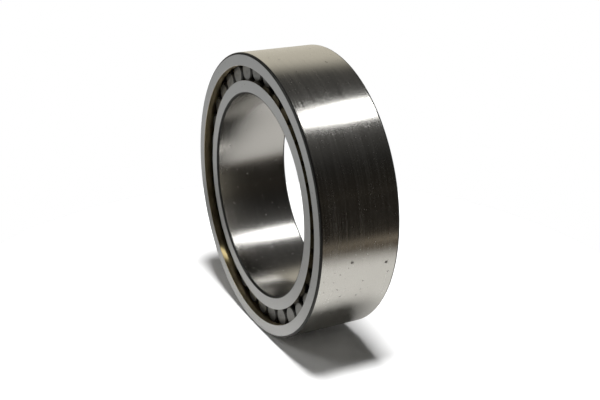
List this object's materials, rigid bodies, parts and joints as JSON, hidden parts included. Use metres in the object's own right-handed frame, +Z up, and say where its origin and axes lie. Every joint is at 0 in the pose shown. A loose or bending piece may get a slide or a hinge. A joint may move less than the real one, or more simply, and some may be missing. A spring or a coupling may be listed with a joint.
{
  "type": "cylindrical roller bearing",
  "caption": "Wide steel cylindrical roller bearing: plain outer and inner rings with a double row of uncaged rollers that carry radial load between shaft and housing.",
  "frame": {"origin": "centre of the bearing's bounding box, on its axis", "axes": "+Y along the bearing's axis, from the front face, where the separate roller row shows, to the rear face; +Z up with the bearing standing on its rim"},
  "size_m": [0.21, 0.063, 0.21],
  "materials": {
    "ring_steel": "fine circumferential grinding on the rim and in the bore, matt lapped faces",
    "roller_steel": "dull ground ends, smooth oiled flanks",
    "spring_steel": "dark tempered spring steel"
  },
  "bodies": {
    "outer_ring": {"outer_ring": "ring_steel", "retaining_ring": "spring_steel"},
    "inner_ring": {"inner_ring": "ring_steel"},
    "roller_set": {"rear_roller_row": "roller_steel"},
    "front_roller_01": {"front_roller_01": "roller_steel"},
    "front_roller_02": {"front_roller_02": "roller_steel"},
    "front_roller_03": {"front_roller_03": "roller_steel"},
    "front_roller_04": {"front_roller_04": "roller_steel"},
    "front_roller_05": {"front_roller_05": "roller_steel"},
    "front_roller_06": {"front_roller_06": "roller_steel"},
    "front_roller_07": {"front_roller_07": "roller_steel"},
    "front_roller_08": {"front_roller_08": "roller_steel"},
    "front_roller_09": {"front_roller_09": "roller_steel"},
    "front_roller_10": {"front_roller_10": "roller_steel"},
    "front_roller_11": {"front_roller_11": "roller_steel"},
    "front_roller_12": {"front_roller_12": "roller_steel"},
    "front_roller_13": {"front_roller_13": "roller_steel"},
    "front_roller_14": {"front_roller_14": "roller_steel"},
    "front_roller_15": {"front_roller_15": "roller_steel"},
    "front_roller_16": {"front_roller_16": "roller_steel"},
    "front_roller_17": {"front_roller_17": "roller_steel"},
    "front_roller_18": {"front_roller_18": "roller_steel"},
    "front_roller_19": {"front_roller_19": "roller_steel"},
    "front_roller_20": {"front_roller_20": "roller_steel"},
    "front_roller_21": {"front_roller_21": "roller_steel"},
    "front_roller_22": {"front_roller_22": "roller_steel"},
    "front_roller_23": {"front_roller_23": "roller_steel"},
    "front_roller_24": {"front_roller_24": "roller_steel"},
    "front_roller_25": {"front_roller_25": "roller_steel"},
    "front_roller_26": {"front_roller_26": "roller_steel"},
    "front_roller_27": {"front_roller_27": "roller_steel"},
    "front_roller_28": {"front_roller_28": "roller_steel"},
    "front_roller_29": {"front_roller_29": "roller_steel"},
    "front_roller_30": {"front_roller_30": "roller_steel"},
    "front_roller_31": {"front_roller_31": "roller_steel"},
    "front_roller_32": {"front_roller_32": "roller_steel"},
    "front_roller_33": {"front_roller_33": "roller_steel"}
  },
  "joints": [
    {"name": "inner_ring_turn", "type": "hinge", "parent": "outer_ring", "child": "inner_ring", "pos_m": [0, 0, 0], "axis": [0, 1, 0], "continuous": true},
    {"name": "roller_set_orbit", "type": "hinge", "parent": "outer_ring", "child": "roller_set", "pos_m": [0, 0, 0], "axis": [0, 1, 0], "continuous": true},
    {"name": "front_roller_01_spin", "type": "hinge", "parent": "roller_set", "child": "front_roller_01", "pos_m": [0.09045, -0.0135, 0.01124], "axis": [0, 1, 0], "continuous": true},
    {"name": "front_roller_02_spin", "type": "hinge", "parent": "roller_set", "child": "front_roller_02", "pos_m": [0.08669, -0.0135, 0.02815], "axis": [0, 1, 0], "continuous": true},
    {"name": "front_roller_03_spin", "type": "hinge", "parent": "roller_set", "child": "front_roller_03", "pos_m": [0.0798, -0.0135, 0.04405], "axis": [0, 1, 0], "continuous": true},
    {"name": "front_roller_04_spin", "type": "hinge", "parent": "roller_set", "child": "front_roller_04", "pos_m": [0.07002, -0.0135, 0.05835], "axis": [0, 1, 0], "continuous": true},
    {"name": "front_roller_05_spin", "type": "hinge", "parent": "roller_set", "child": "front_roller_05", "pos_m": [0.05771, -0.0135, 0.07055], "axis": [0, 1, 0], "continuous": true},
    {"name": "front_roller_06_spin", "type": "hinge", "parent": "roller_set", "child": "front_roller_06", "pos_m": [0.04332, -0.0135, 0.0802], "axis": [0, 1, 0], "continuous": true},
    {"name": "front_roller_07_spin", "type": "hinge", "parent": "roller_set", "child": "front_roller_07", "pos_m": [0.02736, -0.0135, 0.08695], "axis": [0, 1, 0], "continuous": true},
    {"name": "front_roller_08_spin", "type": "hinge", "parent": "roller_set", "child": "front_roller_08", "pos_m": [0.01041, -0.0135, 0.09055], "axis": [0, 1, 0], "continuous": true},
    {"name": "front_roller_09_spin", "type": "hinge", "parent": "roller_set", "child": "front_roller_09", "pos_m": [-0.00692, -0.0135, 0.09089], "axis": [0, 1, 0], "continuous": true},
    {"name": "front_roller_10_spin", "type": "hinge", "parent": "roller_set", "child": "front_roller_10", "pos_m": [-0.02399, -0.0135, 0.08793], "axis": [0, 1, 0], "continuous": true},
    {"name": "front_roller_11_spin", "type": "hinge", "parent": "roller_set", "child": "front_roller_11", "pos_m": [-0.0402, -0.0135, 0.08181], "axis": [0, 1, 0], "continuous": true},
    {"name": "front_roller_12_spin", "type": "hinge", "parent": "roller_set", "child": "front_roller_12", "pos_m": [-0.05496, -0.0135, 0.07272], "axis": [0, 1, 0], "continuous": true},
    {"name": "front_roller_13_spin", "type": "hinge", "parent": "roller_set", "child": "front_roller_13", "pos_m": [-0.06773, -0.0135, 0.061], "axis": [0, 1, 0], "continuous": true},
    {"name": "front_roller_14_spin", "type": "hinge", "parent": "roller_set", "child": "front_roller_14", "pos_m": [-0.07805, -0.0135, 0.04708], "axis": [0, 1, 0], "continuous": true},
    {"name": "front_roller_15_spin", "type": "hinge", "parent": "roller_set", "child": "front_roller_15", "pos_m": [-0.08555, -0.0135, 0.03146], "axis": [0, 1, 0], "continuous": true},
    {"name": "front_roller_16_spin", "type": "hinge", "parent": "roller_set", "child": "front_roller_16", "pos_m": [-0.08996, -0.0135, 0.0147], "axis": [0, 1, 0], "continuous": true},
    {"name": "front_roller_17_spin", "type": "hinge", "parent": "roller_set", "child": "front_roller_17", "pos_m": [-0.09111, -0.0135, -0.00259], "axis": [0, 1, 0], "continuous": true},
    {"name": "front_roller_18_spin", "type": "hinge", "parent": "roller_set", "child": "front_roller_18", "pos_m": [-0.08898, -0.0135, -0.01978], "axis": [0, 1, 0], "continuous": true},
    {"name": "front_roller_19_spin", "type": "hinge", "parent": "roller_set", "child": "front_roller_19", "pos_m": [-0.08363, -0.0135, -0.03626], "axis": [0, 1, 0], "continuous": true},
    {"name": "front_roller_20_spin", "type": "hinge", "parent": "roller_set", "child": "front_roller_20", "pos_m": [-0.07525, -0.0135, -0.05144], "axis": [0, 1, 0], "continuous": true},
    {"name": "front_roller_21_spin", "type": "hinge", "parent": "roller_set", "child": "front_roller_21", "pos_m": [-0.06416, -0.0135, -0.06475], "axis": [0, 1, 0], "continuous": true},
    {"name": "front_roller_22_spin", "type": "hinge", "parent": "roller_set", "child": "front_roller_22", "pos_m": [-0.05074, -0.0135, -0.07572], "axis": [0, 1, 0], "continuous": true},
    {"name": "front_roller_23_spin", "type": "hinge", "parent": "roller_set", "child": "front_roller_23", "pos_m": [-0.0355, -0.0135, -0.08395], "axis": [0, 1, 0], "continuous": true},
    {"name": "front_roller_24_spin", "type": "hinge", "parent": "roller_set", "child": "front_roller_24", "pos_m": [-0.01897, -0.0135, -0.08915], "axis": [0, 1, 0], "continuous": true},
    {"name": "front_roller_25_spin", "type": "hinge", "parent": "roller_set", "child": "front_roller_25", "pos_m": [-0.00175, -0.0135, -0.09113], "axis": [0, 1, 0], "continuous": true},
    {"name": "front_roller_26_spin", "type": "hinge", "parent": "roller_set", "child": "front_roller_26", "pos_m": [0.01553, -0.0135, -0.08982], "axis": [0, 1, 0], "continuous": true},
    {"name": "front_roller_27_spin", "type": "hinge", "parent": "roller_set", "child": "front_roller_27", "pos_m": [0.03224, -0.0135, -0.08526], "axis": [0, 1, 0], "continuous": true},
    {"name": "front_roller_28_spin", "type": "hinge", "parent": "roller_set", "child": "front_roller_28", "pos_m": [0.0478, -0.0135, -0.07761], "axis": [0, 1, 0], "continuous": true},
    {"name": "front_roller_29_spin", "type": "hinge", "parent": "roller_set", "child": "front_roller_29", "pos_m": [0.06162, -0.0135, -0.06717], "axis": [0, 1, 0], "continuous": true},
    {"name": "front_roller_30_spin", "type": "hinge", "parent": "roller_set", "child": "front_roller_30", "pos_m": [0.07322, -0.0135, -0.05429], "axis": [0, 1, 0], "continuous": true},
    {"name": "front_roller_31_spin", "type": "hinge", "parent": "roller_set", "child": "front_roller_31", "pos_m": [0.08217, -0.0135, -0.03945], "axis": [0, 1, 0], "continuous": true},
    {"name": "front_roller_32_spin", "type": "hinge", "parent": "roller_set", "child": "front_roller_32", "pos_m": [0.08815, -0.0135, -0.02319], "axis": [0, 1, 0], "continuous": true},
    {"name": "front_roller_33_spin", "type": "hinge", "parent": "roller_set", "child": "front_roller_33", "pos_m": [0.09095, -0.0135, -0.00609], "axis": [0, 1, 0], "continuous": true}
  ],
  "couplings": [
    {"joint": "roller_set_orbit", "follows": "inner_ring_turn", "ratio": 0.45337},
    {"joint": "front_roller_01_spin", "follows": "inner_ring_turn", "ratio": -5.3151},
    {"joint": "front_roller_02_spin", "follows": "inner_ring_turn", "ratio": -5.3151},
    {"joint": "front_roller_03_spin", "follows": "inner_ring_turn", "ratio": -5.3151},
    {"joint": "front_roller_04_spin", "follows": "inner_ring_turn", "ratio": -5.3151},
    {"joint": "front_roller_05_spin", "follows": "inner_ring_turn", "ratio": -5.3151},
    {"joint": "front_roller_06_spin", "follows": "inner_ring_turn", "ratio": -5.3151},
    {"joint": "front_roller_07_spin", "follows": "inner_ring_turn", "ratio": -5.3151},
    {"joint": "front_roller_08_spin", "follows": "inner_ring_turn", "ratio": -5.3151},
    {"joint": "front_roller_09_spin", "follows": "inner_ring_turn", "ratio": -5.3151},
    {"joint": "front_roller_10_spin", "follows": "inner_ring_turn", "ratio": -5.3151},
    {"joint": "front_roller_11_spin", "follows": "inner_ring_turn", "ratio": -5.3151},
    {"joint": "front_roller_12_spin", "follows": "inner_ring_turn", "ratio": -5.3151},
    {"joint": "front_roller_13_spin", "follows": "inner_ring_turn", "ratio": -5.3151},
    {"joint": "front_roller_14_spin", "follows": "inner_ring_turn", "ratio": -5.3151},
    {"joint": "front_roller_15_spin", "follows": "inner_ring_turn", "ratio": -5.3151},
    {"joint": "front_roller_16_spin", "follows": "inner_ring_turn", "ratio": -5.3151},
    {"joint": "front_roller_17_spin", "follows": "inner_ring_turn", "ratio": -5.3151},
    {"joint": "front_roller_18_spin", "follows": "inner_ring_turn", "ratio": -5.3151},
    {"joint": "front_roller_19_spin", "follows": "inner_ring_turn", "ratio": -5.3151},
    {"joint": "front_roller_20_spin", "follows": "inner_ring_turn", "ratio": -5.3151},
    {"joint": "front_roller_21_spin", "follows": "inner_ring_turn", "ratio": -5.3151},
    {"joint": "front_roller_22_spin", "follows": "inner_ring_turn", "ratio": -5.3151},
    {"joint": "front_roller_23_spin", "follows": "inner_ring_turn", "ratio": -5.3151},
    {"joint": "front_roller_24_spin", "follows": "inner_ring_turn", "ratio": -5.3151},
    {"joint": "front_roller_25_spin", "follows": "inner_ring_turn", "ratio": -5.3151},
    {"joint": "front_roller_26_spin", "follows": "inner_ring_turn", "ratio": -5.3151},
    {"joint": "front_roller_27_spin", "follows": "inner_ring_turn", "ratio": -5.3151},
    {"joint": "front_roller_28_spin", "follows": "inner_ring_turn", "ratio": -5.3151},
    {"joint": "front_roller_29_spin", "follows": "inner_ring_turn", "ratio": -5.3151},
    {"joint": "front_roller_30_spin", "follows": "inner_ring_turn", "ratio": -5.3151},
    {"joint": "front_roller_31_spin", "follows": "inner_ring_turn", "ratio": -5.3151},
    {"joint": "front_roller_32_spin", "follows": "inner_ring_turn", "ratio": -5.3151},
    {"joint": "front_roller_33_spin", "follows": "inner_ring_turn", "ratio": -5.3151}
  ]
}
